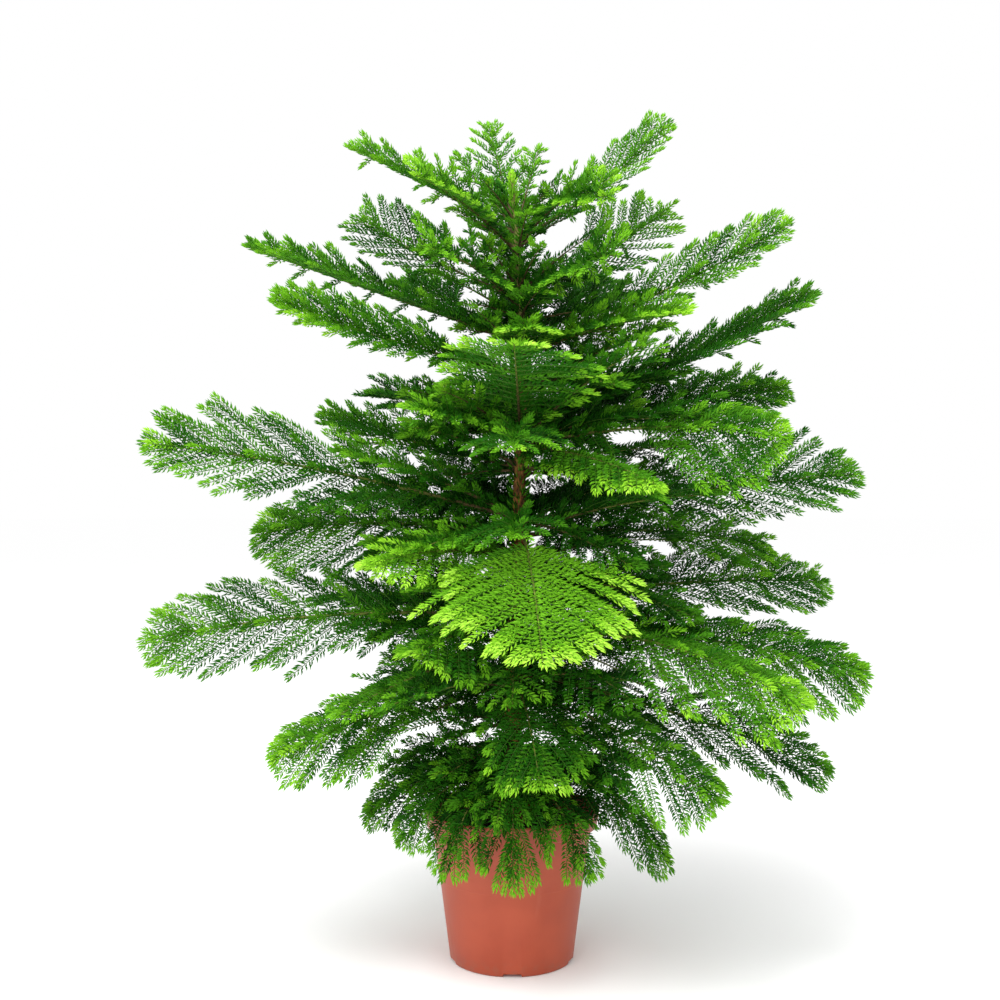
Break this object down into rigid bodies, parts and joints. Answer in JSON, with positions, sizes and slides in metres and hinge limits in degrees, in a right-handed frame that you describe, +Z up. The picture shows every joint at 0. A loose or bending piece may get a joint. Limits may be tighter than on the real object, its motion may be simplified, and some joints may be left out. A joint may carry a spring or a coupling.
{
  "type": "potted norfolk island pine",
  "caption": "Young Norfolk Island pine with tiered, flat fan-like fronds of short needles on a straight trunk, in a tapered round nursery pot with a rim band.",
  "frame": {"origin": "centre of the pot's flat underside", "axes": "+Z up along the trunk; the camera of the picture looks along +Y, so -Y is the plant's front and +X its right in the picture"},
  "size_m": [0.8851, 0.6828, 1.0773],
  "materials": {
    "pot_plastic": "satin",
    "potting_soil": "matte",
    "bark": "matte",
    "limb_bark": "matte",
    "needles": "matte",
    "new_shoots": "matte"
  },
  "bodies": {
    "root": {"pot": "pot_plastic", "soil": "potting_soil", "trunk": "bark", "needles_leader": "new_shoots", "needles_a_left": "needles", "needles_a_front_left": "needles", "needles_a_back": "needles", "needles_a_right": "needles", "needles_a_front_right": "needles", "needles_b_back_left": "needles", "needles_b_front_left": "needles", "needles_b_back_right": "needles", "needles_b_front_right": "needles", "needles_b_back": "needles", "bough_c_left": "limb_bark", "needles_c_left": "needles", "needles_c_front_left": "needles", "bough_c_right": "limb_bark", "needles_c_right": "needles", "needles_c_front_right": "needles", "needles_c_front": "needles", "needles_c_back": "needles", "needles_d_front": "needles", "needles_d_left": "needles", "needles_d_front_left": "needles", "needles_d_right_top": "needles", "needles_d_right_back": "needles", "needles_d_right_front": "needles", "needles_d_front_right": "needles", "needles_d_back": "needles", "bough_e_left": "limb_bark", "needles_e_left": "needles", "needles_e_left_low": "needles", "needles_e_front_left": "needles", "bough_e_front": "limb_bark", "needles_e_front": "needles", "bough_e_right": "limb_bark", "needles_e_right": "needles", "needles_e_right_back": "needles", "needles_e_back": "needles", "bough_f_left": "limb_bark", "needles_f_left": "needles", "needles_f_front_left": "needles", "needles_f_right_back": "needles", "needles_f_right": "needles", "bough_f_right_front": "limb_bark", "needles_f_right_front": "needles", "needles_f_back": "needles", "needles_g_left": "needles", "needles_g_front": "needles", "bough_g_right": "limb_bark", "needles_g_right": "needles", "needles_g_right_front": "needles", "needles_g_back": "needles", "needles_h_left": "needles", "needles_h_front_left": "needles", "needles_h_front": "needles", "needles_h_front_right": "needles", "needles_h_right": "needles", "needles_h_back": "needles"}
  },
  "joints": []
}
